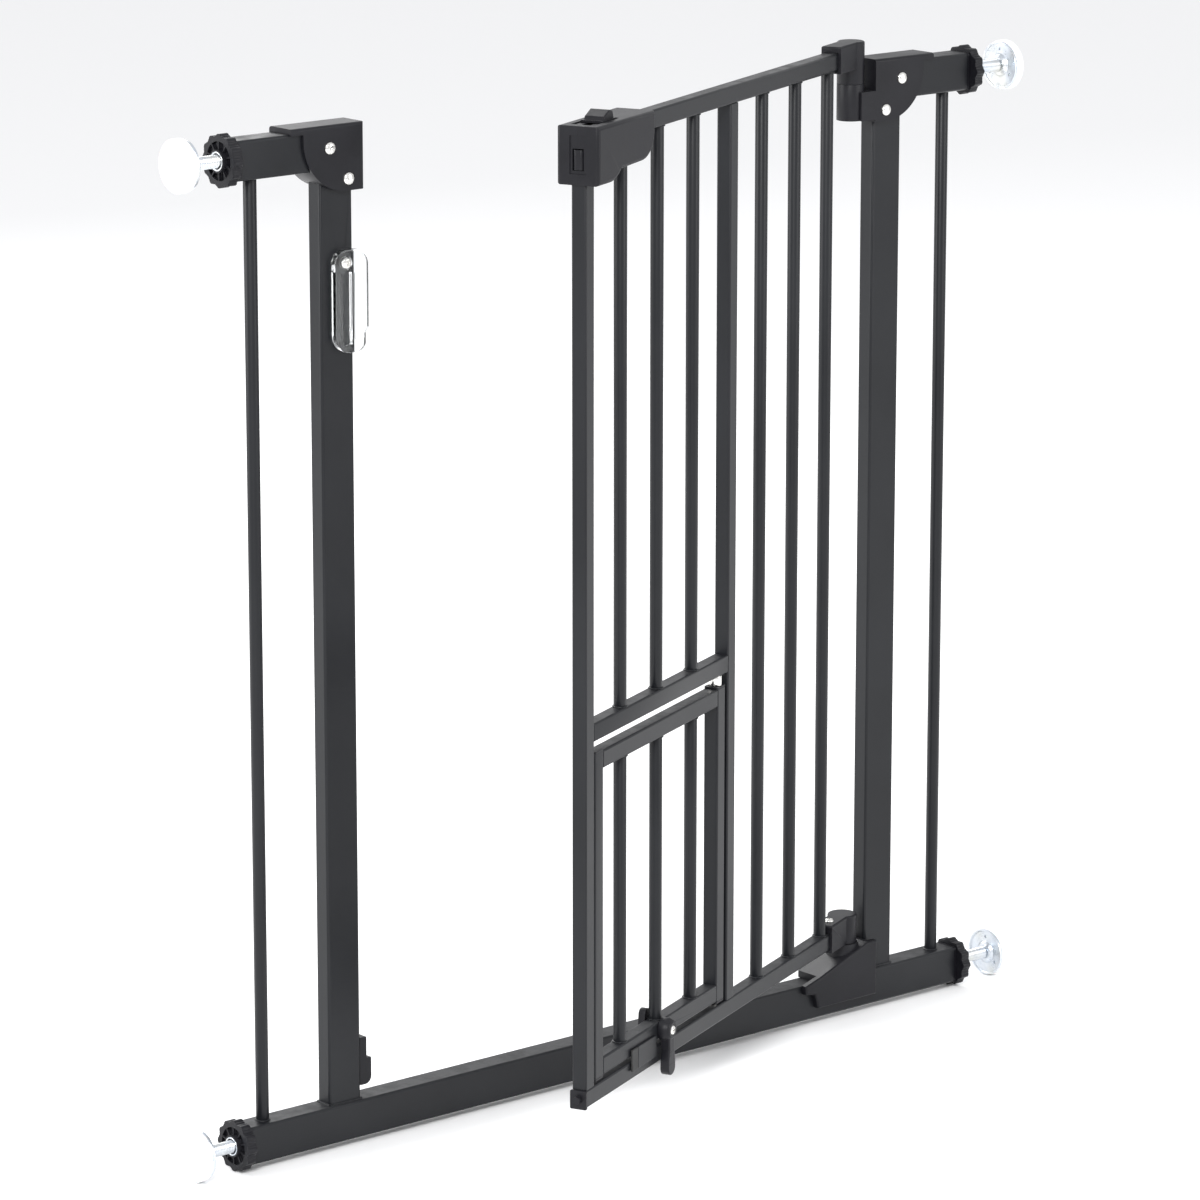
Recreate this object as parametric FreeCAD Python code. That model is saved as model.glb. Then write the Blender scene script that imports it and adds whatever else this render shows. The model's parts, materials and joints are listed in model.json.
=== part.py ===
"""Pressure-fit walk-through pet gate with a small pet door in its swinging leaf.

Frame of reference: millimetres, +Z up, +X along the gate towards the hinge side,
-Y towards the front. The origin is the middle of the bottom rail's underside.
The leaf is built closed, in the plane y = 0, and then turned open about its hinge.
"""
import FreeCAD, Part
import math
import os

V = FreeCAD.Vector
os.makedirs("parts", exist_ok=True)

# ---- driving dimensions -------------------------------------------------------
frame_width = 730.0       # over the ends of the rails
frame_height = 780.0
rail_height, rail_depth = 30.0, 22.0
post_width, post_depth = 30.0, 15.0
latch_post_x, hinge_post_x = -274.0, 280.0
frame_wall = 1.5
bar_radius = 5.0
outer_bar_x = 347.5

tube_face, tube_depth, leaf_wall = 14.0, 12.0, 1.2   # square-ish tube of both leaves
hinge_x = 247.0
leaf_length = 492.0       # hinge axis to the free end of the leaf
leaf_bottom, leaf_top = 59.0, 794.0
open_angle = 24.0
bar_pitch = 62.7
first_bar = leaf_length - tube_face / 2 - bar_pitch
mid_rail_z = 338.0        # underside of the rail above the pet door

pet_gap = 1.5             # play between the pet door and the leaf's stile
pet_bottom, pet_top = 75.5, 330.0
pet_axis_inset = 19.0     # middle stile's centre to the pet door's hinge axis
pet_pin_radius = 3.0

spindle_radius = 5.0
spindle_length = 106.0
pad_radius, pad_thickness = 20.0, 7.0
left_reach, right_reach = 50.0, 55.0     # rail end to the pad's wall face
wheel_radius, wheel_thickness = 20.0, 8.0
plug_flange = 2.0

bolt_height, bolt_depth = 15.0, 8.0
bolt_bottom = 765.0
bolt_travel = 10.0
run = 0.05                # radial clearance of a running fit
slip = 0.3                # clearance round a part that slides or passes through

plate_screw_x, plate_screw_z = latch_post_x + 4.5, 680.0     # pivot of the stop plate

rail_top = rail_height
top_rail_bottom = frame_height - rail_height
post_half = post_width / 2
latch_post_inner = latch_post_x + post_half
post_inner, post_outer = hinge_post_x - post_half, hinge_post_x + post_half
rail_end = frame_width / 2
parts = {}


# ---- helpers ------------------------------------------------------------------
def box(x0, x1, y0, y1, z0, z1):
    return Part.makeBox(x1 - x0, y1 - y0, z1 - z0, V(x0, y0, z0))


def edges_along(shape, axis):
    """Straight edges of a shape that run along one axis: 'x', 'y' or 'z'."""
    found = []
    for edge in shape.Edges:
        if edge.Curve.TypeId != "Part::GeomLine":
            continue
        run_of = edge.Vertexes[-1].Point - edge.Vertexes[0].Point
        if abs(getattr(run_of, axis)) > 0.999 * run_of.Length:
            found.append(edge)
    return found


def rounded_box(x0, x1, y0, y1, z0, z1, axis, radius):
    solid = box(x0, x1, y0, y1, z0, z1)
    return solid.makeFillet(radius, edges_along(solid, axis))


def tube(x0, x1, y0, y1, z0, z1, axis, wall, radius=2.0):
    """Rectangular tube with rounded corners, open at both ends along its axis."""
    outer = rounded_box(x0, x1, y0, y1, z0, z1, axis, radius)
    grow = {a: (-1.0 if a == axis else wall) for a in "xyz"}
    inner = rounded_box(x0 + grow["x"], x1 - grow["x"], y0 + grow["y"], y1 - grow["y"],
                        z0 + grow["z"], z1 - grow["z"], axis, max(radius - wall, 0.4))
    return outer.cut(inner)


def cylinder(radius, length, base, direction):
    return Part.makeCylinder(radius, length, V(*base), V(*direction))


def upright(radius, x, y, z0, z1):
    return cylinder(radius, z1 - z0, (x, y, z0), (0, 0, 1))


def plate_y(points, y0, y1):
    """Solid between y0 and y1 whose outline in the XZ plane is a list of points and arcs.

    An entry (x, z) is a corner; an entry (x, z, xm, zm) reaches (x, z) by an arc
    through (xm, zm).
    """
    edges = []
    last = points[0][:2]
    for item in points[1:] + [points[0][:2]]:
        here = item[:2]
        start, end = V(last[0], y0, last[1]), V(here[0], y0, here[1])
        if len(item) == 4:
            edges.append(Part.Arc(start, V(item[2], y0, item[3]), end).toShape())
        elif (start - end).Length > 1e-6:
            edges.append(Part.LineSegment(start, end).toShape())
        last = here
    return Part.Face(Part.Wire(edges)).extrude(V(0, y1 - y0, 0))


def revolve(profile, base, direction):
    """Turned part: profile points (r, h) spun round an axis from base along direction."""
    wire = Part.makePolygon([V(r, 0, h) for r, h in profile + profile[:1]])
    solid = Part.Face(wire).revolve(V(0, 0, 0), V(0, 0, 1), 360)
    solid.Placement = FreeCAD.Placement(V(*base), FreeCAD.Rotation(V(0, 0, 1), V(*direction)))
    return solid


def joined(shapes):
    result = shapes[0]
    for shape in shapes[1:]:
        result = result.fuse(shape)
    return result.removeSplitter()


def group(shapes):
    return Part.Compound(shapes)


def keep(name, shape):
    parts[name] = shape


def mirrored_x(shape):
    return shape.mirror(V(0, 0, 0), V(1, 0, 0))


def pan_screw(radius, height, shank_radius, shank, base, direction):
    """Cross-recess pan-head screw; the head's underside is at base."""
    head = revolve([(0, 0), (radius, 0), (radius, height * 0.35), (radius * 0.82, height * 0.8),
                    (radius * 0.45, height), (0, height)], base, direction)
    shaft = cylinder(shank_radius, shank, base, [-c for c in direction])
    slot = box(-radius * 0.55, radius * 0.55, -radius * 0.11, radius * 0.11, height * 0.45, height + 1)
    across = slot.copy()
    across.rotate(V(0, 0, 0), V(0, 0, 1), 90)
    cross = slot.fuse(across)
    cross.Placement = FreeCAD.Placement(V(*base), FreeCAD.Rotation(V(0, 0, 1), V(*direction)))
    return head.cut(cross).fuse(shaft)


def rivet(x, z, y_head, shank):
    """Domed rivet whose head stands forward of y_head."""
    head = revolve([(0, 0), (4.9, 0), (4.8, 0.9), (4.0, 1.9), (2.5, 2.6), (0, 2.9)], (x, y_head, z), (0, -1, 0))
    return head.fuse(cylinder(2.0, shank, (x, y_head, z), (0, 1, 0)))


# ---- fixed frame ----------------------------------------------------------------
def frame_tubes():
    half_rail, half_post = rail_depth / 2, post_depth / 2
    keep("bottom_rail", tube(-rail_end, rail_end, -half_rail, half_rail, 0, rail_height, "x", frame_wall))
    for side, sign, centre in (("left", -1, latch_post_x), ("right", 1, hinge_post_x)):
        post = tube(centre - post_half, centre + post_half, -half_post, half_post, rail_top, top_rail_bottom,
                    "z", frame_wall)
        if sign < 0:
            post = post.cut(cylinder(2.02, 5, (plate_screw_x, -half_post - 1, plate_screw_z), (0, 1, 0)))
        keep(side + "_post", post)
        near, far = sorted((centre - sign * post_half, sign * rail_end))
        keep(side + "_top_rail", tube(near, far, -half_rail, half_rail, top_rail_bottom, frame_height,
                                      "x", frame_wall))
    keep("outer_bars", group([upright(bar_radius, sign * outer_bar_x, 0, rail_top, top_rail_bottom)
                              for sign in (-1, 1)]))


cover_half, cover_top, cover_bottom = 13.5, 784.0, 734.0
# places on a corner cover are measured from its post's centre, positive towards the opening
latch_wall, hinge_wall = post_half + 7.0, post_half + 3.0
cover_reach = 45.0
rivet_high, rivet_low = (-10.0, 767.0), (7.0, 743.0)


def frame_inside_cover():
    """Room that a cover leaves for the tubes it wraps."""
    half_rail, half_post = rail_depth / 2 + 0.1, post_depth / 2 + 0.1
    rail = box(-cover_reach - 5, post_half + 0.1, -half_rail, half_rail,
               top_rail_bottom - 0.1, frame_height + 0.1)
    post = box(-post_half - 0.1, post_half + 0.1, -half_post, half_post, 700, top_rail_bottom)
    return rail.fuse(post)


def cover_outline(near):
    """Quarter-round outline of a corner cover whose inner edge is at x = near."""
    lip = cover_top - 5.0
    return [(near, cover_bottom), (near, cover_top), (-cover_reach, cover_top), (-cover_reach, lip),
            (-34.0, lip), (-34.0, lip - 5.0), (6.0, cover_bottom, -22.28, 745.72)]


def top_front_edges(cover):
    """Top edges of a corner cover's front and back faces."""
    return [e for e in cover.Edges if abs(e.CenterOfMass.z - cover_top) < 0.1
            and abs(abs(e.CenterOfMass.y) - cover_half) < 0.1]


def corner_covers():
    latch = plate_y(cover_outline(latch_wall), -cover_half, cover_half)
    inner_front = [e for e in edges_along(latch, "z") if abs(e.CenterOfMass.x - latch_wall) < 0.1]
    latch = latch.makeFillet(2.5, top_front_edges(latch) + inner_front)
    latch = latch.cut(frame_inside_cover())
    socket = box(latch_wall - 5.5, latch_wall + 1, -bolt_depth / 2 - 1, bolt_depth / 2 + 1,
                 bolt_bottom - 1.5, bolt_bottom + bolt_height + 1.5)
    latch = latch.cut(socket)
    latch.translate(V(latch_post_x, 0, 0))

    plate = plate_y(cover_outline(hinge_wall), -cover_half, cover_half)
    plate = plate.makeFillet(2.5, top_front_edges(plate)).cut(frame_inside_cover())
    plate = mirrored_x(plate)
    plate.translate(V(hinge_post_x, 0, 0))
    hinge_near = hinge_post_x - hinge_wall
    knuckle = upright(knuckle_radius, hinge_x, 0, knuckle_bottom, knuckle_top)
    arm = box(hinge_x, hinge_near + 1.5, -cover_half, 4.0, knuckle_bottom, knuckle_top - 6.0)
    arm = arm.fuse(box(hinge_x, hinge_x + 4, -cover_half, 0, knuckle_bottom, knuckle_top - 6.0))
    hinge = joined([plate, knuckle, arm])
    hinge = hinge.cut(upright(upper_pin_radius + 0.02, hinge_x, 0, knuckle_bottom + 4.0, knuckle_top + 1))
    high = [(latch_post_x + rivet_high[0], rivet_high[1]), (hinge_post_x - rivet_high[0], rivet_high[1])]
    low = [(latch_post_x + rivet_low[0], rivet_low[1]), (hinge_post_x - rivet_low[0], rivet_low[1])]
    drills = [cylinder(2.02, 12, (x, -cover_half - 1, z), (0, 1, 0)) for x, z in high + low]
    keep("latch_corner_cover", latch.cut(group(drills)))
    keep("hinge_corner_cover", hinge.cut(group(drills)))
    head = -cover_half - 0.02
    keep("cover_rivets", group([rivet(x, z, head, 2.3) for x, z in high]
                               + [rivet(x, z, head, 5.8) for x, z in low]))


knuckle_radius, knuckle_bottom, knuckle_top = 11.0, 736.0, 765.0
upper_pin_radius, lower_pin_radius = 4.0, 5.0
base_top, bracket_top = 56.0, 80.0


def hinge_pins_and_base():
    keep("upper_hinge_pin", upright(upper_pin_radius, hinge_x, 0, knuckle_bottom + 4.0, 790.0))
    left, right = hinge_x - 54.0, post_inner + 6.0
    front = -rail_depth / 2 - 6.0
    outline = [(left + 14, 10.0), (right, 10.0), (right, base_top), (right - 10, base_top),
               (left + 16, 36.0), (left, 31.0), (left, 24.0), (left + 10, 22.0)]
    front_lug = plate_y(outline, front, -rail_depth / 2 - 0.1)
    front_lug = front_lug.makeFillet(1.8, [e for e in front_lug.Edges if abs(e.CenterOfMass.y - front) < 0.1])
    saddle = plate_y([(left + 16, rail_top + 0.1), (post_inner - 0.1, rail_top + 0.1),
                      (post_inner - 0.1, base_top), (right - 10, base_top), (left + 16, 36.0)],
                     front + 3, rail_depth / 2)
    seat = upright(13.0, hinge_x, 0, rail_top + 0.1, base_top)
    base = joined([front_lug, saddle, seat])
    base = base.cut(upright(lower_pin_radius + 0.02, hinge_x, 0, rail_top + 1, base_top + 1))
    base = base.cut(box(post_inner - 0.1, post_outer, -post_depth / 2 - 0.1, 30, rail_top - 1, 90))
    base = base.cut(box(0, rail_end, -rail_depth / 2 - 0.1, 30, -1, rail_top + 0.1))
    keep("lower_hinge_base", base)
    keep("lower_hinge_pin", upright(lower_pin_radius, hinge_x, 0, rail_top + 1, bracket_top - 4.0))


def bottom_catch():
    """Ledge on the latch post that the leaf's end stud rides over as the leaf shuts."""
    x = latch_post_inner
    outline = [(x + 0.05, 40.0), (x + 5.0, 40.0), (x + 11.0, 46.0, x + 9.3, 41.8), (x + 11.0, 61.0),
               (x + 6.5, 61.0), (x + 6.5, 78.0), (x + 0.05, 78.0)]
    body = plate_y(outline, -6.5, 6.5)
    keep("bottom_catch", body.makeFillet(0.8, edges_along(body, "y")))


def end_plug(sign, z):
    """Plug in a rail's end, bored for the spindle."""
    half = rail_depth / 2
    flange = rounded_box(0, plug_flange, -half, half, z - rail_height / 2, z + rail_height / 2, "x", 2.0)
    body = rounded_box(-14, 0.5, -half + 1.6, half - 1.6, z - rail_height / 2 + 1.6,
                       z + rail_height / 2 - 1.6, "x", 1.0)
    plug = joined([flange, body]).cut(cylinder(spindle_radius + slip, 40, (-20, 0, z), (1, 0, 0)))
    plug.translate(V(rail_end, 0, 0))
    return plug if sign > 0 else mirrored_x(plug)


# ---- spindle sets ---------------------------------------------------------------
def handwheel():
    """Lobed nut on the +X axis, its inner face at x = 0."""
    lobes = 12
    disc = cylinder(wheel_radius - 1.2, wheel_thickness, (0, 0, 0), (1, 0, 0))
    for i in range(lobes):
        a = 2 * math.pi * i / lobes
        reach = wheel_radius - 3.0
        spot = (0, reach * math.cos(a), reach * math.sin(a))
        disc = disc.fuse(cylinder(3.0, wheel_thickness, spot, (1, 0, 0)))
    for i in range(lobes):
        a = 2 * math.pi * (i + 0.5) / lobes
        reach = wheel_radius + 0.6
        spot = (0, reach * math.cos(a), reach * math.sin(a))
        disc = disc.cut(cylinder(2.4, wheel_thickness, spot, (1, 0, 0)))
    dish = cylinder(14.5, 3.0, (wheel_thickness - 2.5, 0, 0), (1, 0, 0))
    hub = cylinder(8.5, wheel_thickness + 2.0, (0, 0, 0), (1, 0, 0))
    wheel = disc.cut(dish).fuse(hub)
    return wheel.cut(cylinder(spindle_radius + 0.1, 40, (-10, 0, 0), (1, 0, 0)))


def pad_cup(x):
    """Pressed steel cup on the spindle's end; its wall-side face is at x."""
    profile = [(0, 0), (18.6, 0), (19.2, -0.6), (19.2, -2.6), (17.8, -2.6), (17.2, -1.5), (9.5, -1.5),
               (8.4, -3.0), (6.6, -4.4), (0, -4.4)]
    cup = revolve(profile, (x, 0, 0), (1, 0, 0))
    for i in range(3):
        a = math.radians(90 + 120 * i)
        cup = cup.cut(cylinder(1.3, 6, (x - 4, 13.2 * math.cos(a), 13.2 * math.sin(a)), (1, 0, 0)))
    return cup


def wall_pad(x):
    """Soft pad; its wall face is at x and has shallow concentric rings."""
    edge = pad_radius
    profile = [(0, -pad_thickness), (edge - 0.8, -pad_thickness), (edge, -pad_thickness + 0.8),
               (edge, -1.2), (edge - 1.2, 0)]
    for ring in (15.5, 11.0, 6.5):
        profile += [(ring + 0.6, 0), (ring + 0.3, -0.5), (ring - 0.3, -0.5), (ring - 0.6, 0)]
    profile += [(1.3, 0), (1.3, -2.0), (0, -2.0)]
    return revolve(profile, (x, 0, 0), (1, 0, 0))


def spindle_sets():
    plugs = []
    for side, sign, reach in (("left", -1, left_reach), ("right", 1, right_reach)):
        face = rail_end + reach
        cup_face = face - pad_thickness
        rod_end = cup_face - 4.45
        rod = cylinder(spindle_radius, spindle_length, (rod_end - spindle_length, 0, 0), (1, 0, 0))
        wheel = handwheel()
        wheel.translate(V(rail_end + plug_flange + slip, 0, 0))
        for level, z in (("lower", rail_height / 2), ("upper", frame_height - rail_height / 2)):
            names = ("spindle", "handwheel", "pad_cup", "wall_pad")
            shapes = (rod, wheel, pad_cup(cup_face - 0.02), wall_pad(face))
            for name, shape in zip(names, shapes):
                placed = shape.copy()
                placed.translate(V(0, 0, z))
                keep("%s_%s_%s" % (level, side, name), placed if sign > 0 else mirrored_x(placed))
            plugs.append(end_plug(sign, z))
    keep("rail_end_plugs", group(plugs))


# ---- stop plate -----------------------------------------------------------------
plate_back, plate_front = -post_depth / 2 - 0.5, -post_depth / 2 - 6.0


def stop_plate():
    """Clear turning stop on the latch post, hanging straight down from its screw."""
    left, right = latch_post_x - 5.5, latch_post_x + 25.5
    top, bottom = 689.5, 612.0
    outline = [(left + 14.0, bottom), (right - 9, bottom), (right - 3, bottom + 8.0, right - 4.5, bottom + 3.0),
               (right - 3, bottom + 14.0), (right, bottom + 18.0), (right, top - 12.0),
               (right - 12.0, top, right - 3.5, top - 3.5), (left + 9.5, top),
               (left, top - 9.5, left + 2.8, top - 2.8), (left, bottom + 14.0),
               (left + 14.0, bottom, left + 4.1, bottom + 4.1)]
    body = plate_y(outline, plate_front, plate_back)
    body = body.makeFillet(1.0, [e for e in body.Edges if abs(e.CenterOfMass.y - plate_front) < 0.1])
    slot = rounded_box(left + 6.0, left + 15.0, plate_front - 1, plate_front + 3.6, bottom + 6.0, bottom + 61.0,
                       "y", 1.5)
    body = body.cut(slot)
    recess = box(left + 17.5, right - 5.0, plate_front - 1, plate_front + 1.2, bottom + 10.0, bottom + 60.0)
    body = body.cut(recess)
    body = body.cut(cylinder(5.2, 2.5, (plate_screw_x, plate_front - 1, plate_screw_z), (0, 1, 0)))
    body = body.cut(cylinder(2.05, 20, (plate_screw_x, -20, plate_screw_z), (0, 1, 0)))
    keep("stop_plate", body)
    screw = pan_screw(4.4, 2.8, 2.0, 6.3, (plate_screw_x, plate_front + 1.2, plate_screw_z), (0, -1, 0))
    washer = revolve([(2.0, 0), (4.6, 0), (4.6, 0.4), (2.0, 0.4)],
                     (plate_screw_x, -post_depth / 2 - 0.02, plate_screw_z), (0, -1, 0))
    keep("stop_plate_screw", joined([screw, washer]))


# ---- main leaf --------------------------------------------------------------------
def leaf_box(u0, u1, v0, v1, z0, z1):
    """Box given by its distance u from the hinge axis towards the free end."""
    return box(hinge_x - u1, hinge_x - u0, v0, v1, z0, z1)


def leaf_tube(u0, u1, z0, z1, axis):
    return tube(hinge_x - u1, hinge_x - u0, -tube_depth / 2, tube_depth / 2, z0, z1, axis, leaf_wall, 1.5)


def leaf_upright(radius, u, z0, z1, v=0.0):
    return upright(radius, hinge_x - u, v, z0, z1)


bar_positions = [first_bar - bar_pitch * i for i in range(7)]     # the fourth is the middle stile
middle_u = bar_positions[3]
stile_inner = leaf_length - tube_face
top_rail_z = leaf_top - tube_face
bottom_rail_top = leaf_bottom + tube_face
pet_axis_u = middle_u + pet_axis_inset
button_slot = (leaf_length - 36.0, leaf_length - 12.0)


def leaf_tubes():
    window = leaf_box(stile_inner - 1, leaf_length + 1, -bolt_depth / 2 - 0.5, bolt_depth / 2 + 0.5,
                      bolt_bottom - 0.5, bolt_bottom + bolt_height + 0.2)
    slot = leaf_box(button_slot[0] - 4.0, button_slot[1] - 2.0, -3.0, 3.0, top_rail_z - 1, leaf_top + 1)
    keep("door_latch_stile", leaf_tube(stile_inner, leaf_length, bottom_rail_top, top_rail_z, "z").cut(window))
    keep("door_top_rail", leaf_tube(12.5, leaf_length, top_rail_z, leaf_top, "x").cut(slot))
    keep("door_bottom_rail", leaf_tube(15.5, leaf_length, leaf_bottom, bottom_rail_top, "x"))
    keep("door_middle_stile", leaf_tube(middle_u - tube_face / 2, middle_u + tube_face / 2,
                                        bottom_rail_top, top_rail_z, "z"))
    keep("door_middle_rail", leaf_tube(middle_u + tube_face / 2, stile_inner,
                                       mid_rail_z, mid_rail_z + tube_face, "x"))
    keep("door_short_bars", group([leaf_upright(bar_radius, u, mid_rail_z + tube_face, top_rail_z)
                                   for u in bar_positions[:3]]))
    keep("door_long_bars", group([leaf_upright(bar_radius, u, bottom_rail_top, top_rail_z)
                                  for u in bar_positions[4:]]))


def end_plug_with_stud():
    half = tube_depth / 2
    flange = leaf_box(leaf_length + 0.02, leaf_length + 1.8, -half - 0.8, half + 0.8,
                      leaf_bottom - 0.8, bottom_rail_top - 0.2)
    flange = flange.makeFillet(1.2, edges_along(flange, "x"))
    body = leaf_box(leaf_length - 12, leaf_length + 0.5, -half + 1.3, half - 1.3,
                    leaf_bottom + 1.3, bottom_rail_top - 1.3)
    stud = cylinder(3.0, 6.0, (hinge_x - leaf_length, 0, leaf_bottom + tube_face / 2), (-1, 0, 0))
    keep("door_end_plug", joined([flange, body, stud]))


def latch_outline(inset):
    """Side outline of the latch housing; inset shrinks it to the inside of the wall."""
    end = housing_end if inset == 0 else leaf_length + 0.1 + inset
    top, low, mid = 797.0, 754.0, 761.5
    i = inset
    free = hinge_x - end + i
    tip = hinge_x - leaf_length
    return [(free, top - i), (free, low + i), (tip + 22.0, low + i),
            (tip + 38.0, mid + i, tip + 32.5, low + 3.4 + i), (tip + 74.0, mid + 1.0 + i),
            (tip + 94.0 - i, 782.0, tip + 88.5 - 0.7 * i, 769.0 + 0.7 * i), (tip + 94.0 - i, top - i)]


housing_half = 17.0
housing_end = leaf_length + 1.5
housing_wall = 2.2


def latch_housing():
    outer = plate_y(latch_outline(0.0), -housing_half, housing_half)
    rims = [e for e in outer.Edges if abs(abs(e.CenterOfMass.y) - housing_half) < 0.01]
    outer = outer.makeFillet(3.0, rims)
    inner = plate_y(latch_outline(housing_wall), -housing_half + housing_wall, housing_half - housing_wall)
    shell = outer.cut(inner)
    frame_room = leaf_box(leaf_length - 98.0, leaf_length + 0.1, -tube_depth / 2 - 0.15, tube_depth / 2 + 0.15,
                          top_rail_z - 0.15, leaf_top + 0.15)
    stile_room = leaf_box(stile_inner - 0.15, leaf_length + 0.1, -tube_depth / 2 - 0.15,
                          tube_depth / 2 + 0.15, 700, top_rail_z)
    shell = shell.cut(frame_room).cut(stile_room)
    shell = shell.cut(leaf_upright(bar_radius + 0.15, bar_positions[0], 700, top_rail_z))
    mouth = leaf_box(leaf_length - 4, housing_end + 1, -bolt_depth / 2 - 0.5, bolt_depth / 2 + 0.5,
                     bolt_bottom - 0.5, bolt_bottom + bolt_height + 0.5)
    frame_step = leaf_box(housing_end - 0.7, housing_end + 1, -6.5, 6.5, 762.0, 790.0)
    shell = shell.cut(mouth).cut(frame_step)
    shell = shell.cut(leaf_box(button_slot[0] - 4.0, button_slot[1], -3.4, 3.4, leaf_top, 800))
    shell = shell.cut(leaf_box(button_slot[0] - 12, button_slot[1] + 6, -9.4, 9.4, 796.0, 800))
    front = shell.common(box(-300, 0, -30, -0.02, 700, 820))
    keep("latch_housing_front", front)
    keep("latch_housing_back", front.mirror(V(0, 0, 0), V(0, 1, 0)))


def latch_slide():
    """Tongue and thumb slide, drawn back so the tongue is level with the housing's end."""
    tail = leaf_length - 46.0
    stem_u = button_slot[0] + 3.0
    tongue = leaf_box(tail, housing_end, -bolt_depth / 2, bolt_depth / 2,
                      bolt_bottom, bolt_bottom + bolt_height - 0.4)
    nose = [e for e in edges_along(tongue, "z") if abs(e.CenterOfMass.x - (hinge_x - housing_end)) < 0.1]
    tongue = tongue.makeFillet(2.5, nose)
    stem_room = leaf_box(stem_u - 3.2, stem_u + 3.2, -2.6, 2.6, bolt_bottom + 6, bolt_bottom + bolt_height + 1)
    tongue = tongue.cut(stem_room)
    keep("latch_bolt", tongue)
    stem = leaf_box(stem_u - 3.0, stem_u + 3.0, -2.4, 2.4, bolt_bottom + 6.2, 797.0)
    foot = leaf_box(stem_u - 10.0, stem_u + 12.0, -9.0, 9.0, 796.3, 798.0)
    foot = foot.makeFillet(0.8, edges_along(foot, "z"))
    x = hinge_x - stem_u
    grip = plate_y([(x - 9.0, 798.0), (x + 9.0, 798.0), (x + 7.0, 803.6), (x + 2.0, 804.6),
                    (x - 7.0, 800.6)], -8.0, 8.0)
    grip = grip.makeFillet(1.0, [e for e in grip.Edges if e.CenterOfMass.z > 798.5])
    keep("latch_button", joined([stem, foot, grip]))
    coil = Part.makeHelix(1.6, 12.0, 2.6)
    ring = Part.Wire(Part.makeCircle(0.4, V(2.6, 0, 0), V(0, 1, 0)))
    spring = Part.Wire(coil).makePipeShell([ring], True, True)
    spring.Placement = FreeCAD.Placement(V(hinge_x - tail + 0.6, 0, bolt_bottom + bolt_height / 2),
                                         FreeCAD.Rotation(V(0, 0, 1), V(1, 0, 0)))
    keep("latch_spring", spring)


cap_reach = 39.0          # hinge axis to the end of either hinge cap
bracket_screw_u = 27.0
cap_top = 799.0


def leaf_hinge_caps():
    half = tube_depth / 2
    rail_room = leaf_box(12.5, cap_reach + 5, -half - 0.1, half + 0.1, top_rail_z - 0.1, leaf_top + 0.1)
    barrel = leaf_upright(knuckle_radius, 0, knuckle_top + slip, cap_top)
    arm = leaf_box(0, cap_reach, -half - 2.4, half + 2.4, top_rail_z - 2.4, cap_top)
    cap = joined([barrel, arm])
    cap = cap.makeFillet(1.5, [e for e in cap.Edges if e.CenterOfMass.z > cap_top - 0.1])
    cap = cap.cut(rail_room).cut(leaf_upright(upper_pin_radius + run, 0, knuckle_top - 1, 791.0))
    keep("top_hinge_cap", cap)

    rail_room = leaf_box(15.5, cap_reach + 5, -half - 0.1, half + 0.1, leaf_bottom - 0.1, bottom_rail_top + 0.1)
    barrel = leaf_upright(12.0, 0, base_top + 0.6, bracket_top)
    arm = leaf_box(0, cap_reach, -half - 2.2, half + 2.2, leaf_bottom - 2.0, bracket_top)
    bracket = joined([barrel, arm])
    bracket = bracket.makeFillet(1.5, [e for e in bracket.Edges if e.CenterOfMass.z > bracket_top - 0.1])
    bracket = bracket.cut(rail_room)
    bracket = bracket.cut(leaf_upright(lower_pin_radius + run, 0, 40, bracket_top - 3.0))
    bracket = bracket.cut(leaf_upright(1.9, bracket_screw_u, bottom_rail_top, 90))
    keep("lower_hinge_bracket", bracket)
    keep("hinge_bracket_screw", pan_screw(4.0, 2.2, 1.85, 6.0,
                                          (hinge_x - bracket_screw_u, 0, bracket_top + 0.05), (0, 0, 1)))


# ---- pet door ---------------------------------------------------------------------
lever_u = bar_positions[1]
flange = 1.5


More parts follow.
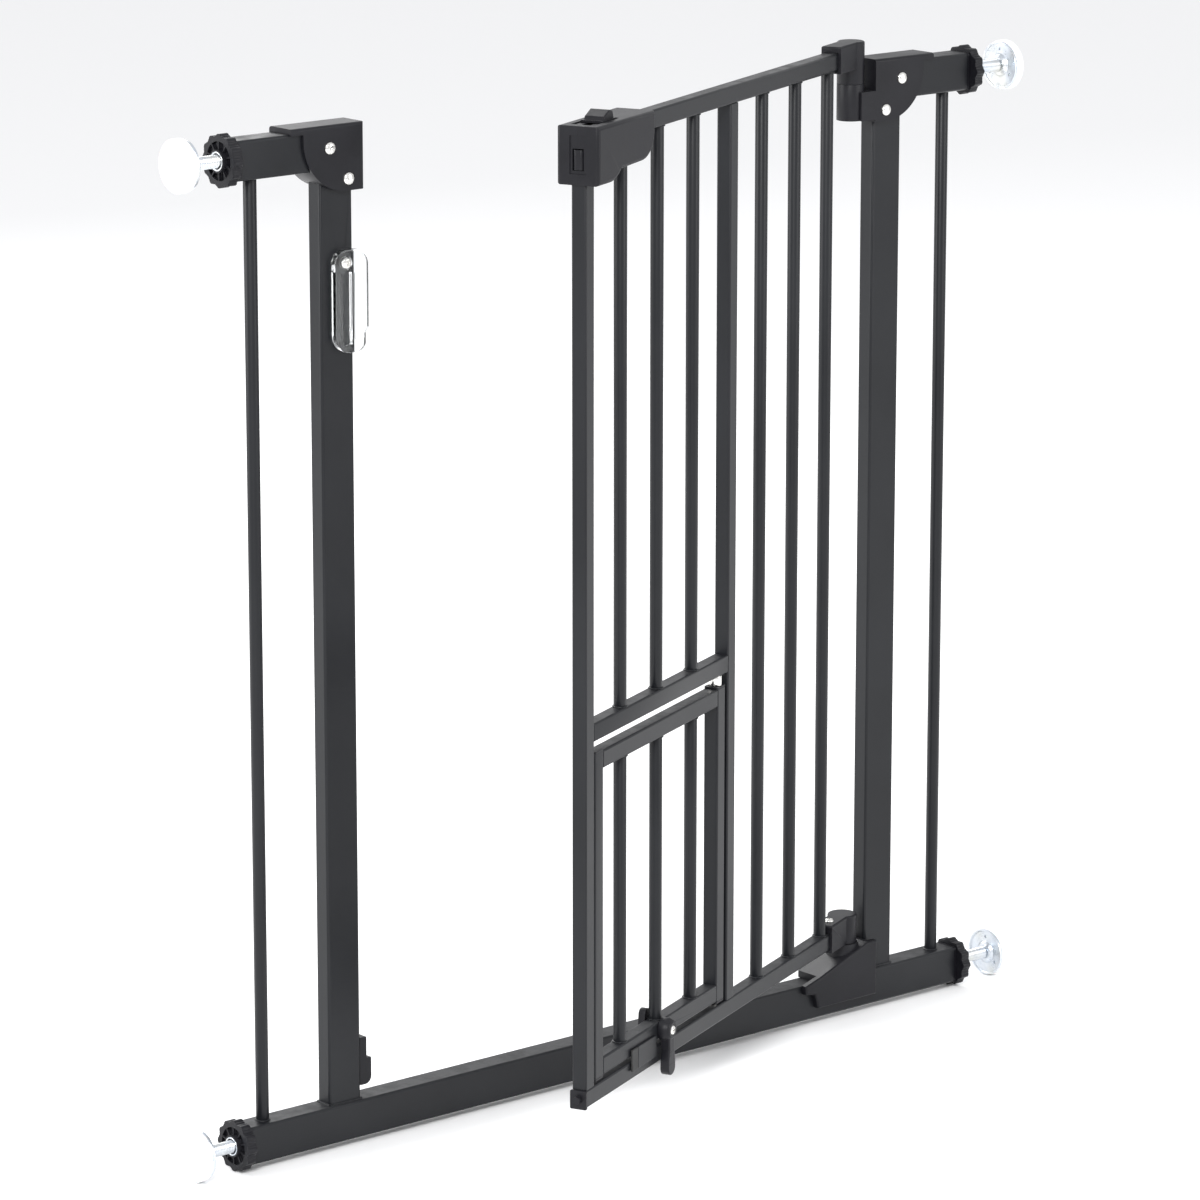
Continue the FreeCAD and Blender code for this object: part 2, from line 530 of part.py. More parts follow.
def pet_door():
    left_out = stile_inner - pet_gap
    left_in = left_out - tube_face
    right_in = pet_axis_u + tube_face / 2
    low, high = pet_bottom + flange, pet_top - flange
    rail_low, rail_high = low + tube_face, high - tube_face
    keep("pet_door_stiles", group([leaf_tube(left_in, left_out, low, high, "z"),
                                   leaf_tube(pet_axis_u - tube_face / 2, right_in, low, high, "z")]))
    keep("pet_door_top_rail", leaf_tube(right_in, left_in, rail_high, high, "x"))
    bottom = leaf_tube(right_in, left_in, low, rail_low, "x")
    bottom = bottom.cut(cylinder(shaft_radius + run, 40, (hinge_x - lever_u, -20, lever_z), (0, 1, 0)))
    keep("pet_door_bottom_rail", bottom)
    keep("pet_door_bars", group([leaf_upright(bar_radius, u, rail_low, rail_high) for u in bar_positions[:3]]))
    bushes, pins, caps = [], [], []
    for z, up in ((low, -1), (high, 1)):
        z0, z1 = sorted((z, z + up * flange))
        rim = leaf_box(pet_axis_u - tube_face / 2, right_in, -tube_depth / 2, tube_depth / 2, z0, z1)
        rim = rim.makeFillet(1.4, edges_along(rim, "z"))
        b0, b1 = sorted((z + up * 0.5, z - up * 14.0))
        body = leaf_box(pet_axis_u - tube_face / 2 + 1.45, right_in - 1.45, -tube_depth / 2 + 1.45,
                        tube_depth / 2 - 1.45, b0, b1)
        bore = leaf_upright(pet_pin_radius + run, pet_axis_u, low - 30, high + 30)
        bushes.append(joined([rim, body]).cut(bore))
        rim = leaf_box(left_in, left_out, -tube_depth / 2, tube_depth / 2, z0, z1)
        rim = rim.makeFillet(1.4, edges_along(rim, "z"))
        body = leaf_box(left_in + 1.45, left_out - 1.45, -tube_depth / 2 + 1.45, tube_depth / 2 - 1.45, b0, b1)
        caps.append(joined([rim, body]))
    pins.append(leaf_upright(pet_pin_radius, pet_axis_u, bottom_rail_top + 0.02, low + 12.0))
    pins.append(leaf_upright(pet_pin_radius, pet_axis_u, high - 12.0, mid_rail_z - 0.02).fuse(
        leaf_upright(5.5, pet_axis_u, pet_top + slip, mid_rail_z - 0.02)))
    keep("pet_hinge_bushes", group(bushes))
    keep("pet_hinge_pins", group(pins))
    keep("pet_door_stile_plugs", group(caps))


lever_z = pet_bottom + flange + tube_face / 2
shaft_radius = 3.5


def pet_lever():
    """Drop-shaped turning handle in front, cam at the back, one square-ended shaft between."""
    x, z = hinge_x - lever_u, lever_z
    near = -tube_depth / 2 - 0.4
    head = revolve([(0, 0), (9.0, 0), (9.0, 4.5), (7.4, 8.0), (6.0, 9.0), (0, 9.0)], (x, near, z), (0, -1, 0))
    grip = plate_y([(x - 5.0, z), (x - 4.4, z - 15.0), (x - 6.4, z - 29.0, x - 5.9, z - 22.0),
                    (x + 6.4, z - 29.0, x, z - 36.0), (x + 4.4, z - 15.0, x + 5.9, z - 22.0),
                    (x + 5.0, z)], near - 8.2, near - 1.2)
    grip = grip.makeFillet(1.2, [e for e in grip.Edges if abs(e.CenterOfMass.y - near + 8.2) < 0.1])
    lever = head.fuse(grip)
    lever = lever.cut(cylinder(shaft_radius + 0.02, 5.6, (x, near + 0.5, z), (0, -1, 0)))
    lever = lever.cut(cylinder(1.7, 20.0, (x, near, z), (0, -1, 0)))
    seat = near - 7.5
    lever = lever.cut(cylinder(4.2, 20.0, (x, seat, z), (0, -1, 0)))
    keep("pet_latch_lever", lever)
    rear = tube_depth / 2 + 0.4
    shaft = cylinder(shaft_radius, rear - near + 5.0, (x, near - 5.0, z), (0, 1, 0))
    cam = plate_y([(x - 6.0, z), (x - 4.5, z + 11.0), (x + 4.5, z + 11.0, x, z + 14.5), (x + 6.0, z),
                   (x - 6.0, z, x, z - 6.0)], rear, rear + 6.0)
    cam = cam.makeFillet(1.2, [e for e in cam.Edges if abs(e.CenterOfMass.y - rear - 6.0) < 0.1])
    shaft = joined([shaft, cam]).cut(cylinder(1.5, 8.0, (x, near - 5.5, z), (0, 1, 0)))
    keep("pet_latch_cam_shaft", shaft)
    keep("pet_lever_screw", pan_screw(3.9, 2.2, 1.45, 7.4, (x, seat - 0.02, z), (0, -1, 0)))

    stop_z0, stop_z1 = leaf_bottom + 7.0, lever_z - 1.0
    front = -tube_depth / 2
    lug = box(x - 46.0, x - 14.0, front - 2.0, front - 0.5, stop_z0, stop_z1)
    lug = lug.fuse(box(x - 46.0, x - 14.0, front - 0.6, front, pet_bottom + 1.6, stop_z1))
    lug = joined([lug])
    keep("pet_door_stop_lug", lug)
    buffer = box(x - 57.0, x - 47.0, front - 2.4, front - 0.5, stop_z0, stop_z1)
    buffer = buffer.makeFillet(0.6, edges_along(buffer, "x") + edges_along(buffer, "z"))
    buffer = buffer.fuse(box(x - 55.5, x - 48.5, front - 0.6, front, pet_bottom + 1.6, stop_z1 - 1.0))
    keep("pet_door_buffer", joined([buffer]))


# ---- build ------------------------------------------------------------------------
frame_tubes()
corner_covers()
hinge_pins_and_base()
bottom_catch()
spindle_sets()
stop_plate()
fixed = set(parts)

leaf_tubes()
end_plug_with_stud()
latch_housing()
latch_slide()
leaf_hinge_caps()
pet_door()
pet_lever()
for name in parts:
    if name not in fixed:
        parts[name].rotate(V(hinge_x, 0, 0), V(0, 0, 1), open_angle)

for name, shape in parts.items():
    shape.exportStep("parts/%s.step" % name)
print(len(parts), "parts written")
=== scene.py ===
import json
import math
import bpy
import bmesh
from mathutils import Matrix, Vector


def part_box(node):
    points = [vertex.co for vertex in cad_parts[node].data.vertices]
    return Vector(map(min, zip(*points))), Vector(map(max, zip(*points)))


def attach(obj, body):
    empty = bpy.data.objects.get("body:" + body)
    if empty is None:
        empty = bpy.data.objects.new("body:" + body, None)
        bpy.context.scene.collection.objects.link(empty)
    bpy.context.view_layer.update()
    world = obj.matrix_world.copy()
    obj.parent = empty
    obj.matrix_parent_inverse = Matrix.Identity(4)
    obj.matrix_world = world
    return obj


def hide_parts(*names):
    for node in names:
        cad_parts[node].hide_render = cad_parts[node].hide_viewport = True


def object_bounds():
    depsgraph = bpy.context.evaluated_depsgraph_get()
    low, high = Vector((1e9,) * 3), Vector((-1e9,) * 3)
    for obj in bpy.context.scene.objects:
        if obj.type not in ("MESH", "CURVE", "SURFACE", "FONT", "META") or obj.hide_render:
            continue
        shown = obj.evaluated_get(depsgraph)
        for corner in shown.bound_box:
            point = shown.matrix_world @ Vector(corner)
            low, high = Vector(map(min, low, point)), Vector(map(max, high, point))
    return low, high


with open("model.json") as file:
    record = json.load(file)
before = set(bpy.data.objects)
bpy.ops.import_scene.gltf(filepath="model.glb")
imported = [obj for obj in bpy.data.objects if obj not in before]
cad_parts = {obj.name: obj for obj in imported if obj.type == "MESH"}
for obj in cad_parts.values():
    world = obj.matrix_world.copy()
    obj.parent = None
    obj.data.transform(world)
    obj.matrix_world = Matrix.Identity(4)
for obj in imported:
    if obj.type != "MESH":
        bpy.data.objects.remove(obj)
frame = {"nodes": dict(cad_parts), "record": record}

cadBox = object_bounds()
nodes = frame["nodes"]
mm = 0.001
sides = [(level, side) for level in ("lower", "upper") for side in ("left", "right")]


# a socket that takes part in sums, so shader maths reads as it would on paper
class Wire:
    def __init__(self, tree, socket):
        self.tree = tree
        self.socket = socket

    def maths(self, operation, *values):
        return addNode(self.tree, "ShaderNodeMath", {"operation": operation}, list(values))

    def __add__(self, other):
        return self.maths("ADD", self, other)

    def __sub__(self, other):
        return self.maths("SUBTRACT", self, other)

    def __rsub__(self, other):
        return self.maths("SUBTRACT", other, self)

    def __mul__(self, other):
        return self.maths("MULTIPLY", self, other)

    def __pow__(self, other):
        return self.maths("POWER", self, other)

    __radd__ = __add__
    __rmul__ = __mul__


# any other node: its type, its settings, then what goes into its sockets; out names the result
def addNode(tree, kind, settings=None, inputs=None, out=0):
    node = tree.nodes.new(kind)
    for name, value in (settings or {}).items():
        if name == "stops":
            ramp = node.color_ramp.elements
            while len(ramp) < len(value):
                ramp.new(0.5)
            for stop, (place, colour) in zip(ramp, value):
                stop.position = place
                stop.color = colour
        else:
            setattr(node, name, value)
    pairs = enumerate(inputs) if isinstance(inputs, list) else (inputs or {}).items()
    for key, value in pairs:
        if isinstance(value, Wire):
            tree.links.new(value.socket, node.inputs[key])
        else:
            node.inputs[key].default_value = value
    return Wire(tree, node.outputs[out])


def noise(tree, scale, detail=3.0, roughness=0.5, stretch=(1, 1, 1)):
    where = addNode(tree, "ShaderNodeTexCoord", out="Object")
    where = addNode(tree, "ShaderNodeMapping", inputs={"Vector": where, "Scale": stretch}, out="Vector")
    return addNode(tree, "ShaderNodeTexNoise", inputs={"Vector": where, "Scale": scale, "Detail": detail,
                                                       "Roughness": roughness}, out="Fac")


def ramp(tree, value, low, high):
    stops = [(low, (0, 0, 0, 1)), (high, (1, 1, 1, 1))]
    return addNode(tree, "ShaderNodeValToRGB", {"stops": stops}, {"Fac": value}, out="Color")


def blendColours(tree, mask, first, second):
    node = tree.nodes.new("ShaderNodeMix")
    node.data_type = "RGBA"
    tree.links.new(mask.socket, node.inputs[0])
    for key, value in ((6, first), (7, second)):
        if isinstance(value, Wire):
            tree.links.new(value.socket, node.inputs[key])
        else:
            node.inputs[key].default_value = value
    return Wire(tree, node.outputs[2])


def finish(name, fixed, varying):
    material = bpy.data.materials.new(name)
    material.use_nodes = True
    tree = material.node_tree
    shader = tree.nodes["Principled BSDF"]
    for socket, value in fixed.items():
        shader.inputs[socket].default_value = value
    for socket, wire in varying(tree).items():
        tree.links.new(wire.socket, shader.inputs[socket])
    return material


def bump(tree, height, strength, distance):
    return addNode(tree, "ShaderNodeBump", inputs={"Height": height, "Strength": strength,
                                                   "Distance": distance}, out="Normal")


dustLook = dict(scale=55, detail=6.0, roughness=0.62, low=0.42, high=0.72)


# dust lies in patches, and only on what faces up
def dustOn(tree, amount):
    look = dustLook
    normal = addNode(tree, "ShaderNodeNewGeometry", out="Normal")
    up = addNode(tree, "ShaderNodeSeparateXYZ", inputs=[normal], out="Z")
    up = addNode(tree, "ShaderNodeMath", {"operation": "MAXIMUM"}, [up, 0.0])
    patches = noise(tree, look["scale"], look["detail"], look["roughness"])
    return ramp(tree, patches, look["low"], look["high"]) * (up ** 3) * amount


# satin powder coat: faint orange peel, drifting gloss, a breath of dust
coatLook = dict(colour=(0.0062, 0.0068, 0.0085, 1), worn=(0.0135, 0.0145, 0.0170, 1),
                dust=(0.10, 0.10, 0.10, 1), wear=0.55, dustCover=0.16, dustDull=0.3, driftScale=9,
                roughness=0.30, peel=420.0, grain=2600.0, relief=0.35, depth=0.00008)


def coatSurface(tree):
    look = coatLook
    drift = ramp(tree, noise(tree, look["driftScale"], 4.0), 0.35, 0.72)
    colour = blendColours(tree, drift * look["wear"], look["colour"], look["worn"])
    colour = blendColours(tree, dustOn(tree, look["dustCover"]), colour, look["dust"])
    peel = noise(tree, look["peel"], 2.0, 0.45)
    grain = noise(tree, look["grain"], 2.0, 0.6)
    rough = look["roughness"] + drift * 0.07 + grain * 0.10 + dustOn(tree, look["dustDull"])
    return {"Base Color": colour, "Roughness": rough,
            "Normal": bump(tree, peel * 0.75 + grain * 0.25, look["relief"], look["depth"])}


plasticLook = dict(colour=(0.0058, 0.0058, 0.0078, 1), rubbed=(0.0120, 0.0120, 0.0150, 1),
                   dust=(0.10, 0.10, 0.105, 1), wear=0.6, dustCover=0.14, driftScale=26, roughness=0.33,
                   spark=3400, relief=0.30, depth=0.00005)


def plasticSurface(tree):
    look = plasticLook
    drift = ramp(tree, noise(tree, look["driftScale"], 4.0), 0.38, 0.70)
    colour = blendColours(tree, drift * look["wear"], look["colour"], look["rubbed"])
    colour = blendColours(tree, dustOn(tree, look["dustCover"]), colour, look["dust"])
    spark = noise(tree, look["spark"], 2.0, 0.7)
    rough = look["roughness"] + drift * 0.08 + spark * 0.12
    return {"Base Color": colour, "Roughness": rough,
            "Normal": bump(tree, spark, look["relief"], look["depth"])}


rubberLook = dict(driftScale=70, grain=1800, relief=0.35, depth=0.00010)
blackRubberLook = dict(fresh=(0.012, 0.012, 0.012, 1), dull=(0.022, 0.022, 0.022, 1), low=0.55, high=0.80)
whiteRubberLook = dict(fresh=(0.80, 0.81, 0.82, 1), dull=(0.70, 0.71, 0.73, 1), low=0.42, high=0.66)


def rubberSurface(tree, look):
    drift = ramp(tree, noise(tree, rubberLook["driftScale"], 5.0, 0.6), 0.3, 0.75)
    grain = noise(tree, rubberLook["grain"], 3.0, 0.65)
    return {"Base Color": blendColours(tree, drift, look["fresh"], look["dull"]),
            "Roughness": look["low"] + grain * (look["high"] - look["low"]),
            "Normal": bump(tree, grain, rubberLook["relief"], rubberLook["depth"])}


# plated steel: cloudy blue-grey with a faint yellow cast and long fine scratches
zincLook = dict(dark=(0.55, 0.60, 0.67, 1), pale=(0.74, 0.77, 0.80, 1), yellow=(0.72, 0.66, 0.50, 1),
                cast=0.35, clouds=130, iris=38, scratches=260, stretch=(0.16, 6, 6), roughness=0.20,
                relief=0.25, depth=0.00006)


def zincSurface(tree):
    look = zincLook
    clouds = ramp(tree, noise(tree, look["clouds"], 5.0, 0.62), 0.30, 0.74)
    iris = ramp(tree, noise(tree, look["iris"], 2.0), 0.46, 0.70)
    scratches = noise(tree, look["scratches"], 2.0, 0.5, look["stretch"])
    colour = blendColours(tree, clouds, look["dark"], look["pale"])
    colour = blendColours(tree, iris * look["cast"], colour, look["yellow"])
    return {"Base Color": colour, "Roughness": look["roughness"] + clouds * 0.12 + scratches * 0.10,
            "Normal": bump(tree, scratches, look["relief"], look["depth"])}


brightLook = dict(clean=(0.83, 0.82, 0.79, 1), hazed=(0.66, 0.65, 0.63, 1), turned=900, haze=240,
                  roughness=0.14, relief=0.16, depth=0.00004)


def brightSurface(tree):
    look = brightLook
    turned = noise(tree, look["turned"], 3.0, 0.6)
    haze = ramp(tree, noise(tree, look["haze"], 4.0), 0.42, 0.78)
    return {"Base Color": blendColours(tree, haze, look["clean"], look["hazed"]),
            "Roughness": look["roughness"] + haze * 0.14,
            "Normal": bump(tree, turned, look["relief"], look["depth"])}


clearLook = dict(colour=(0.96, 0.98, 0.985, 1), index=1.49, flow=85, fine=1500, stretch=(1, 1, 0.35),
                 roughness=0.035, relief=0.16, depth=0.00025)


def clearSurface(tree):
    look = clearLook
    flow = noise(tree, look["flow"], 3.0, 0.5, look["stretch"])
    fine = noise(tree, look["fine"], 2.0, 0.6)
    return {"Roughness": look["roughness"] + fine * 0.07,
            "Normal": bump(tree, flow * 0.8 + fine * 0.2, look["relief"], look["depth"])}


print("materials")
coat = finish("black coat", {"Specular IOR Level": 0.24, "Coat Weight": 0.04, "Coat Roughness": 0.22},
              coatSurface)
plastic = finish("black plastic", {"Specular IOR Level": 0.22}, plasticSurface)
blackRubber = finish("black rubber", {}, lambda tree: rubberSurface(tree, blackRubberLook))
whiteRubber = finish("white rubber", {"Subsurface Weight": 0.12, "Subsurface Scale": 0.002},
                     lambda tree: rubberSurface(tree, whiteRubberLook))
zinc = finish("zinc plate", {"Metallic": 1.0}, zincSurface)
bright = finish("bright nickel", {"Metallic": 1.0}, brightSurface)
clear = finish("clear plastic", {"Transmission Weight": 1.0, "IOR": clearLook["index"],
                                 "Base Color": clearLook["colour"]}, clearSurface)
bySlot = {"black_coat": coat, "black_plastic": plastic, "black_rubber": blackRubber,
          "pad_rubber": whiteRubber, "zinc_steel": zinc, "bright_steel": bright, "clear_plastic": clear}


def dress(piece, material):
    piece.data.materials.clear()
    piece.data.materials.append(material)


print("carried-over nodes")
joining = dict(carried=0.000002, made=0.000004)
edgeAngle = math.radians(38)
# rounding of sharp edges, in millimetres
edgeSizes = {"black_coat": 0.55, "black_plastic": 0.45, "clear_plastic": 0.35, "zinc_steel": 0.15,
             "bright_steel": 0.12, "pad_rubber": 0.30, "black_rubber": 0.30}
for entry in frame["record"]["subparts"]:
    piece = nodes[entry["node"]]
    dress(piece, bySlot[entry["material_slot"]])
    weld = piece.modifiers.new("weld", "WELD")
    weld.merge_threshold = joining["carried"]
    edge = piece.modifiers.new("edge", "BEVEL")
    edge.width = edgeSizes[entry["material_slot"]] * mm
    edge.segments = 2
    edge.limit_method = "ANGLE"
    edge.angle_limit = edgeAngle
    edge.harden_normals = False


# a finished mesh becomes a piece on its body; replaced nodes give way to it
def settle(name, mesh, body, material, slot, *replaced):
    piece = bpy.data.objects.new(name, bpy.data.meshes.new(name))
    mesh.normal_update()
    mesh.to_mesh(piece.data)
    mesh.free()
    bpy.context.scene.collection.objects.link(piece)
    dress(piece, material)
    if replaced:
        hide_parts(*replaced)
    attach(piece, body)


def tidyMesh(mesh):
    bmesh.ops.remove_doubles(mesh, verts=mesh.verts, dist=joining["made"])
    bmesh.ops.recalc_face_normals(mesh, faces=mesh.faces)


# rolled M10 thread along the whole rod
thread = dict(pitch=1.5, depth=0.90, steps=28, crest=0.22, root=0.30, cutSlack=0.0000005)


def threadedRod(node):
    low, high = (Vector(corner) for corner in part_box(node))
    radius = (high.z - low.z) / 2
    middle = (low + high) / 2
    pitch, depth = thread["pitch"] * mm, thread["depth"] * mm
    mesh = bmesh.new()
    # one tooth, from valley to valley
    flat, bottom = thread["crest"] * pitch, thread["root"] * pitch
    flank = (pitch - flat - bottom) / 2
    places = [(0, radius - depth), (bottom, radius - depth), (bottom + flank, radius),
              (bottom + flank + flat, radius), (pitch, radius - depth)]
    start = low.x - 2 * pitch
    verts = [mesh.verts.new((start + x, middle.y, middle.z + r)) for x, r in places]
    edges = [mesh.edges.new(pair) for pair in zip(verts, verts[1:])]
    turns = int((high.x - low.x) / pitch) + 4
    bmesh.ops.spin(mesh, geom=verts + edges, cent=middle, axis=(1, 0, 0),
                   dvec=(pitch / thread["steps"], 0, 0), angle=2 * math.pi * turns,
                   steps=thread["steps"] * turns, use_duplicate=False)
    tidyMesh(mesh)
    for x, way in ((low.x, -1), (high.x, 1)):
        whole = mesh.verts[:] + mesh.edges[:] + mesh.faces[:]
        cut = bmesh.ops.bisect_plane(mesh, geom=whole, dist=thread["cutSlack"], plane_co=(x, 0, 0),
                                     plane_no=(way, 0, 0), clear_outer=True)
        rim = [item for item in cut["geom_cut"] if isinstance(item, bmesh.types.BMEdge)]
        bmesh.ops.edgeloop_fill(mesh, edges=rim)
    tidyMesh(mesh)
    for face in mesh.faces:
        face.smooth = abs(face.normal.x) < 0.999
    return mesh


print("spindles")
for level, side in sides:
    body = "%s_%s_spindle" % (level, side)
    settle("%s_%s_thread" % (level, side), threadedRod(body), body, zinc, "zinc_steel", body)


# ribs in each handwheel's dish, and the pale ring round its hub, in millimetres
wheel = dict(ribs=10, ribThick=1.1, ribDepth=2.1, ribEdge=0.25, inner=8.2, outer=15.0, rimInset=2.0,
             ring=6.6, ringTube=0.75, ringInset=0.35)


def wheelRibs(centre, outward, facing):
    mesh = bmesh.new()
    for i in range(wheel["ribs"]):
        made = bmesh.ops.create_cube(mesh, size=1.0)["verts"]
        length = wheel["outer"] - wheel["inner"]
        bmesh.ops.scale(mesh, vec=(wheel["ribDepth"] * mm, wheel["ribThick"] * mm, length * mm), verts=made)
        bmesh.ops.translate(mesh, vec=(0, 0, (wheel["inner"] + length / 2) * mm), verts=made)
        turn = Matrix.Rotation(2 * math.pi * i / wheel["ribs"], 3, "X")
        bmesh.ops.rotate(mesh, cent=(0, 0, 0), matrix=turn, verts=made)
    bmesh.ops.bevel(mesh, geom=mesh.edges[:], offset=wheel["ribEdge"] * mm, segments=2, profile=0.5,
                    affect="EDGES", material=-1)
    sunk = facing - outward * wheel["ribDepth"] * 0.5 * mm
    bmesh.ops.translate(mesh, vec=centre + Vector((sunk, 0, 0)), verts=mesh.verts)
    tidyMesh(mesh)
    return mesh


def hubRing(centre, facing):
    mesh = bmesh.new()
    around = bmesh.ops.create_circle(mesh, radius=wheel["ringTube"] * mm, segments=12)["verts"]
    bmesh.ops.rotate(mesh, cent=(0, 0, 0), matrix=Matrix.Rotation(math.pi / 2, 3, "Y"), verts=around)
    bmesh.ops.rotate(mesh, cent=(0, 0, 0), matrix=Matrix.Rotation(math.pi / 2, 3, "Z"), verts=around)
    bmesh.ops.translate(mesh, vec=(facing, 0, wheel["ring"] * mm), verts=around)
    bmesh.ops.spin(mesh, geom=mesh.verts[:] + mesh.edges[:], cent=(facing, 0, 0), axis=(1, 0, 0),
                   angle=2 * math.pi, steps=56, use_merge=True, use_duplicate=False)
    bmesh.ops.translate(mesh, vec=centre, verts=mesh.verts)
    tidyMesh(mesh)
    for face in mesh.faces:
        face.smooth = True
    return mesh


print("handwheels")
for level, side in sides:
    body = "%s_%s_handwheel" % (level, side)
    low, high = (Vector(corner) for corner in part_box(body))
    outward = 1 if side == "right" else -1
    centre = Vector((0, 0, (low.z + high.z) / 2))
    outer = high.x if side == "right" else low.x
    # the rim stands short of the hub's end
    rimFace = outer - outward * wheel["rimInset"] * mm
    ringFace = outer - outward * wheel["ringInset"] * mm
    settle("%s_%s_ribs" % (level, side), wheelRibs(centre, outward, rimFace), body, plastic, "black_plastic")
    settle("%s_%s_hub_ring" % (level, side), hubRing(centre, ringFace), body, zinc, "zinc_steel")


bead = dict(radius=1.0, wobble=0.16, ripples=9, steps=10, around=40, squash=0.62, sunk=0.3, postScale=1.3)


# a fillet of weld round the foot of a bar, sitting on the face it meets
def roundBead(mesh, centre, radius):
    before = set(mesh.verts)
    ring = bmesh.ops.create_circle(mesh, radius=bead["radius"] * mm, segments=bead["steps"])["verts"]
    bmesh.ops.rotate(mesh, cent=(0, 0, 0), matrix=Matrix.Rotation(math.pi / 2, 3, "X"), verts=ring)
    bmesh.ops.translate(mesh, vec=(radius, 0, 0), verts=ring)
    edges = list({e for v in ring for e in v.link_edges})
    bmesh.ops.spin(mesh, geom=ring + edges, cent=(0, 0, 0), axis=(0, 0, 1), angle=2 * math.pi,
                   steps=bead["around"], use_merge=True, use_duplicate=False)
    made = [v for v in mesh.verts if v not in before]
    for v in made:
        a = math.atan2(v.co.y, v.co.x)
        # the shift by place keeps neighbouring beads from matching
        swell = 1 + bead["wobble"] * math.sin(bead["ripples"] * a + 37 * centre[0]) * 0.5
        flat = Vector((v.co.x, v.co.y, 0)).normalized() * radius
        v.co = flat + (v.co - flat) * swell
    bmesh.ops.scale(mesh, vec=(1, 1, bead["squash"]), verts=made)
    bmesh.ops.translate(mesh, vec=centre, verts=made)


# low and high corners of each separate solid in a node
def solidsOf(node):
    copy = bmesh.new()
    copy.from_mesh(nodes[node].data)
    bmesh.ops.remove_doubles(copy, verts=copy.verts, dist=joining["carried"])
    seen = set()
    found = []
    for first in copy.verts:
        if first in seen:
            continue
        seen.add(first)
        group = [first]
        for reached in group:
            for edge in reached.link_edges:
                other = edge.other_vert(reached)
                if other not in seen:
                    seen.add(other)
                    group.append(other)
        found.append((Vector([min(v.co[i] for v in group) for i in range(3)]),
                      Vector([max(v.co[i] for v in group) for i in range(3)])))
    copy.free()
    return found


# a weld run along each side of a post's foot
def postFoot(mesh, low, high):
    radius = bead["radius"] * bead["postScale"] * mm
    corners = [(low.x, low.y), (high.x, low.y), (high.x, high.y), (low.x, high.y)]
    for (x, y), (endX, endY) in zip(corners, corners[1:] + corners[:1]):
        along = Vector((endX - x, endY - y, 0))
        rod = bmesh.ops.create_cone(mesh, cap_ends=True, segments=bead["steps"], radius1=radius,
                                    radius2=radius, depth=along.length)["verts"]
        bmesh.ops.rotate(mesh, cent=(0, 0, 0), matrix=Matrix.Rotation(math.pi / 2, 3, "Y"), verts=rod)
        bmesh.ops.rotate(mesh, cent=(0, 0, 0), matrix=Matrix.Rotation(math.atan2(along.y, along.x), 3, "Z"),
                         verts=rod)
        bmesh.ops.translate(mesh, vec=((x + endX) / 2, (y + endY) / 2, low.z), verts=rod)


print("welds")
weldRows = [("outer_bars", "frame"), ("door_short_bars", "door"), ("door_long_bars", "door"),
            ("pet_door_bars", "pet_door")]
for node, body in weldRows:
    mesh = bmesh.new()
    for low, high in solidsOf(node):
        radius = (high.x - low.x) / 2
        for z, way in ((low.z, 1), (high.z, -1)):
            inside = z + way * bead["radius"] * bead["sunk"] * mm
            roundBead(mesh, ((low.x + high.x) / 2, (low.y + high.y) / 2, inside), radius)
    tidyMesh(mesh)
    for face in mesh.faces:
        face.smooth = True
    settle(node + "_welds", mesh, body, coat, "black_coat")

feet = bmesh.new()
for node in ("left_post", "right_post"):
    shells = solidsOf(node)
    postFoot(feet, Vector([min(low[i] for low, high in shells) for i in range(3)]),
             Vector([max(high[i] for low, high in shells) for i in range(3)]))
settle("post_welds", feet, "frame", coat, "black_coat")

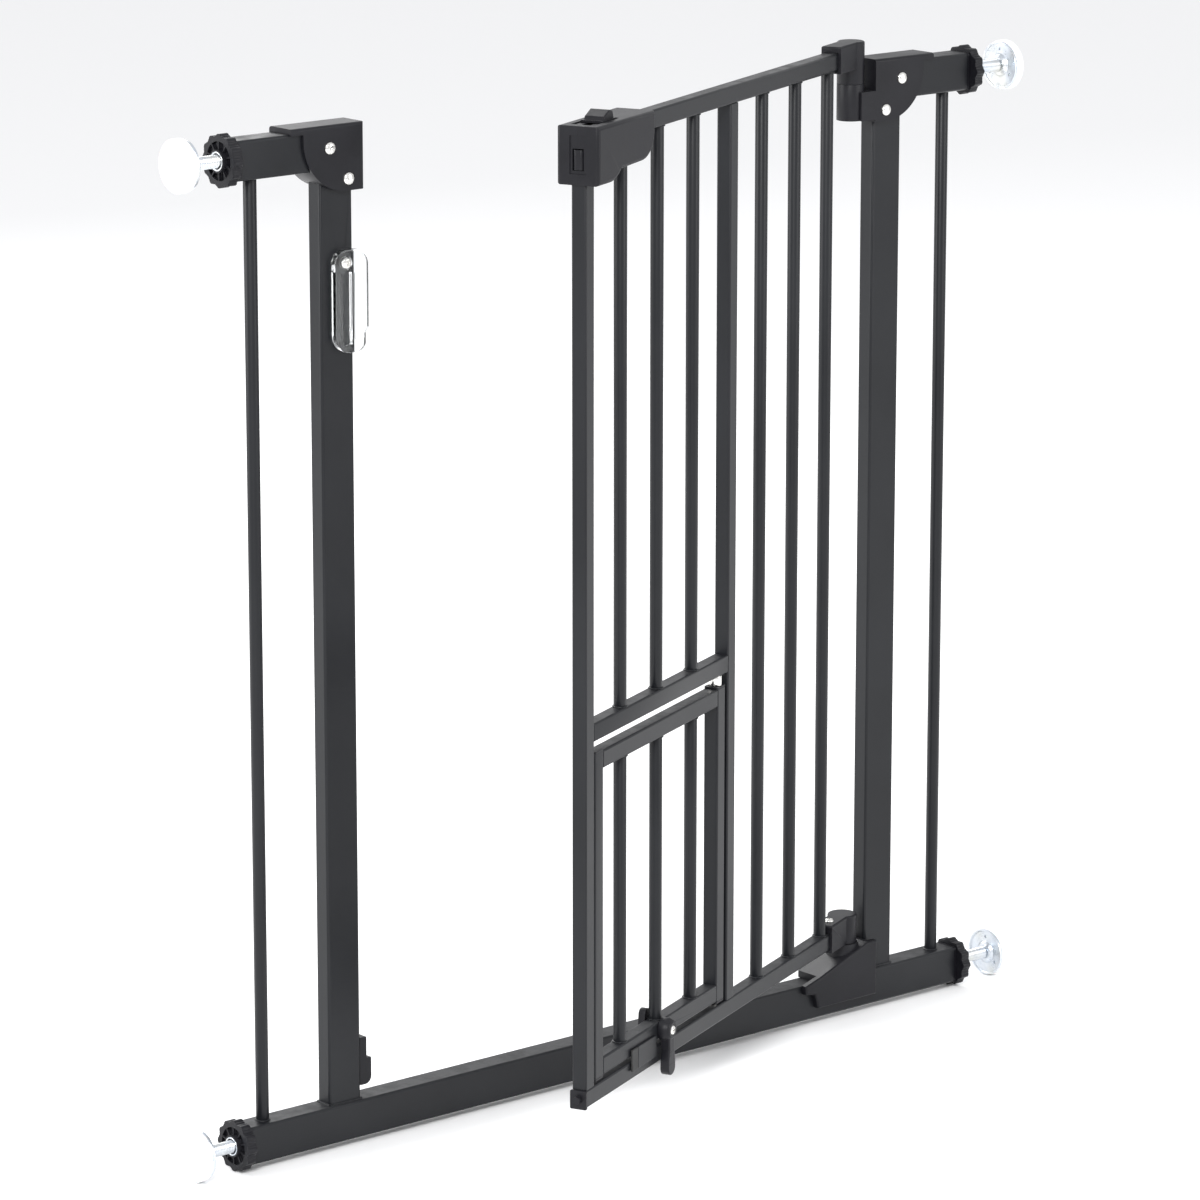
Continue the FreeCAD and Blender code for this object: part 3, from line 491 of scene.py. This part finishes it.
print("stage")
room = dict(size=14.0, gap=0.0003, floor=(0.95, 0.95, 0.95, 1), world=(0.98, 0.985, 1.0, 1),
            worldStrength=0.92, aim=(0, -0.05, 0.4))
floorMesh = bmesh.new()
bmesh.ops.create_grid(floorMesh, x_segments=1, y_segments=1, size=room["size"])
bmesh.ops.translate(floorMesh, vec=(0, 0, cadBox[0][2] - room["gap"]), verts=floorMesh.verts)
floor = bpy.data.objects.new("floor", bpy.data.meshes.new("floor"))
floorMesh.to_mesh(floor.data)
floorMesh.free()
bpy.context.scene.collection.objects.link(floor)
dress(floor, finish("pale floor", {"Base Color": room["floor"], "Specular IOR Level": 0.2},
                    lambda tree: {"Roughness": 0.72 + noise(tree, 6) * 0.12}))

bpy.context.scene.view_settings.view_transform = "Standard"
world = bpy.data.worlds.new("studio")
bpy.context.scene.world = world
world.use_nodes = True
sky = world.node_tree.nodes["Background"]
sky.inputs["Color"].default_value = room["world"]
sky.inputs["Strength"].default_value = room["worldStrength"]

# name, place, width and power of each lamp
lamps = [("key", (-2.6, -2.4, 2.6), 1.4, 130), ("fill", (1.8, -3.2, 1.5), 2.2, 42),
         ("back", (0.6, 2.6, 2.2), 2.0, 60), ("side", (-2.2, 1.4, 1.2), 1.6, 34)]
for name, place, size, power in lamps:
    lamp = bpy.data.lights.new(name, "AREA")
    lamp.shape = "DISK"
    lamp.size = size
    lamp.energy = power
    stand = bpy.data.objects.new(name, lamp)
    stand.location = place
    stand.rotation_euler = (Vector(room["aim"]) - Vector(place)).to_track_quat("-Z", "Y").to_euler()
    bpy.context.scene.collection.objects.link(stand)

view = dict(place=(-2.8017, -3.2993, 1.4000), turn=40.15, down=13.09, lens=170.7, sensor=36.0,
            shiftX=0.0044, shiftY=-0.0127)
eye = bpy.data.cameras.new("camera")
eye.lens = view["lens"]
eye.sensor_width = view["sensor"]
eye.shift_x = view["shiftX"]
eye.shift_y = view["shiftY"]
camera = bpy.data.objects.new("camera", eye)
camera.location = view["place"]
camera.rotation_euler = (math.radians(90 - view["down"]), 0, math.radians(-view["turn"]))
bpy.context.scene.collection.objects.link(camera)
bpy.context.scene.camera = camera

bpy.context.view_layer.update()
